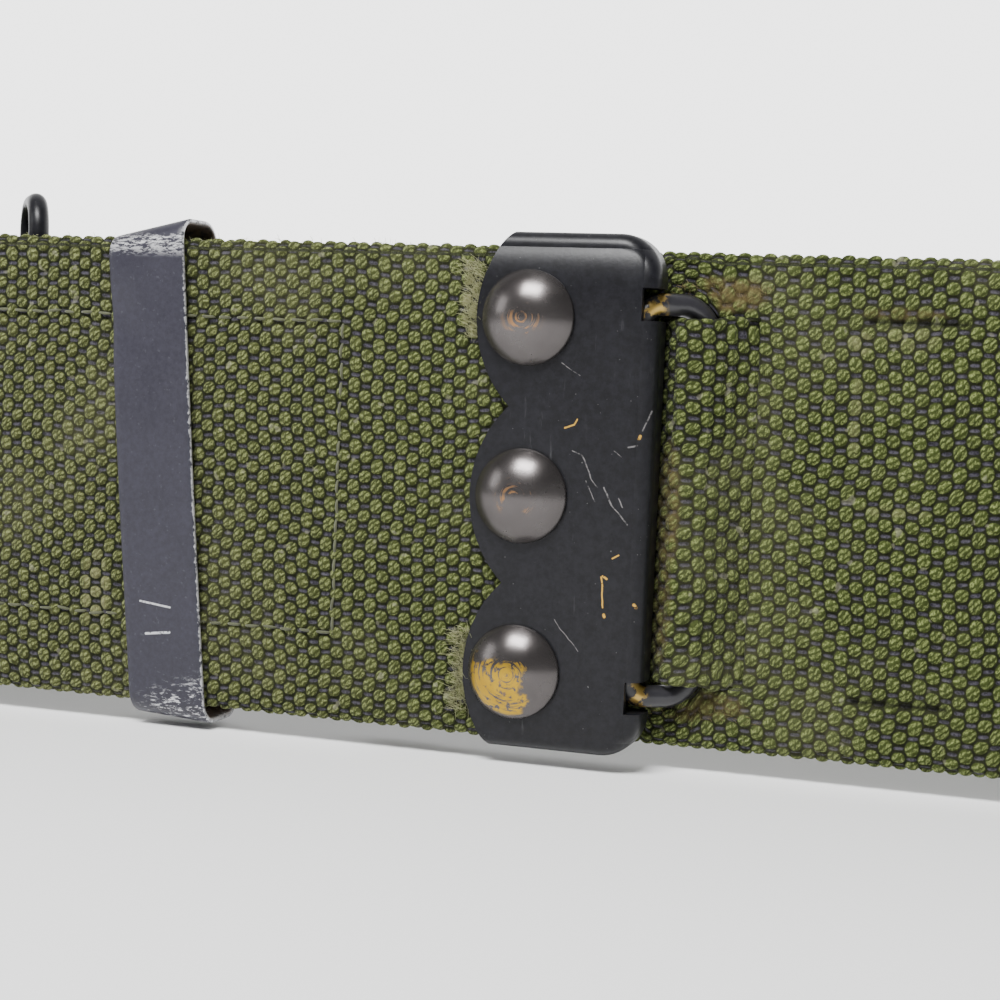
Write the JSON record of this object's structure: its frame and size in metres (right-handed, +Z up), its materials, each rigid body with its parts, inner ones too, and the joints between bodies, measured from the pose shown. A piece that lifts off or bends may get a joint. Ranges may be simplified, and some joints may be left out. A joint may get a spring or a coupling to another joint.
{
  "type": "webbing equipment belt",
  "caption": "Olive woven-webbing belt closed in a standing loop: black riveted claw buckle hooked in slot pairs, sheet-metal keeper and wire hanger loop.",
  "frame": {"origin": "middle of the loop's footprint, at the lowest point of the keeper", "axes": "+X along the front straight, -Y out of the buckle's face, +Z up across the webbing"},
  "size_m": [0.339, 0.203, 0.0665],
  "materials": {
    "webbing": "coarse plain-woven webbing",
    "black_paint": "semi-gloss black paint, chipped",
    "keeper_paint": "blue-black paint, worn edges",
    "rivet_cap": "blackened brass, worn",
    "claw_wire": "black paint, rubbed to brass",
    "brass": "dull",
    "thread": "olive sewing thread"
  },
  "bodies": {
    "root": {"belt_webbing_rear": "webbing"},
    "buckle_end": {"buckle_strap": "webbing", "buckle_plate": "black_paint", "clamp_plate": "black_paint", "rivet_cap_top": "rivet_cap", "rivet_cap_middle": "rivet_cap", "rivet_cap_bottom": "rivet_cap", "rivet_post_top": "brass", "rivet_post_middle": "brass", "rivet_post_bottom": "brass", "rivet_burr_top": "brass", "rivet_burr_middle": "brass", "rivet_burr_bottom": "brass", "reinforcing_patch": "webbing", "hanger_clip": "black_paint", "hanger_rivets": "brass"},
    "claw": {"claw_loop": "claw_wire"},
    "keeper": {"keeper": "keeper_paint"},
    "hanger": {"hanger_loop": "claw_wire"},
    "tail_end": {"tail_strap": "webbing", "slot_bridge": "webbing", "tail_tip": "black_paint"}
  },
  "joints": [
    {"name": "buckle_swing", "type": "hinge", "parent": "root", "child": "buckle_end", "pos_m": [-0.07, -0.0975, 0.03166], "axis": [0, 0, -1], "range_deg": [0, 55], "deforming": ["slot_bridge"]},
    {"name": "tail_swing", "type": "hinge", "parent": "root", "child": "tail_end", "pos_m": [0.058, -0.089, 0.03166], "axis": [0, 0, -1], "range_deg": [0, 18], "deforming": ["slot_bridge"]},
    {"name": "claw_pivot", "type": "hinge", "parent": "buckle_end", "child": "claw", "pos_m": [0.015, -0.096, 0.03166], "axis": [0, 0, 1], "range_deg": [-4, 10]},
    {"name": "keeper_slide", "type": "slide", "parent": "buckle_end", "child": "keeper", "axis": [1, 0, 0], "range_m": [0, 0.014]},
    {"name": "hanger_swing", "type": "hinge", "parent": "buckle_end", "child": "hanger", "pos_m": [-0.0674, -0.0899, 0.03166], "axis": [0, 0, 1], "range_deg": [-75, 30]}
  ]
}
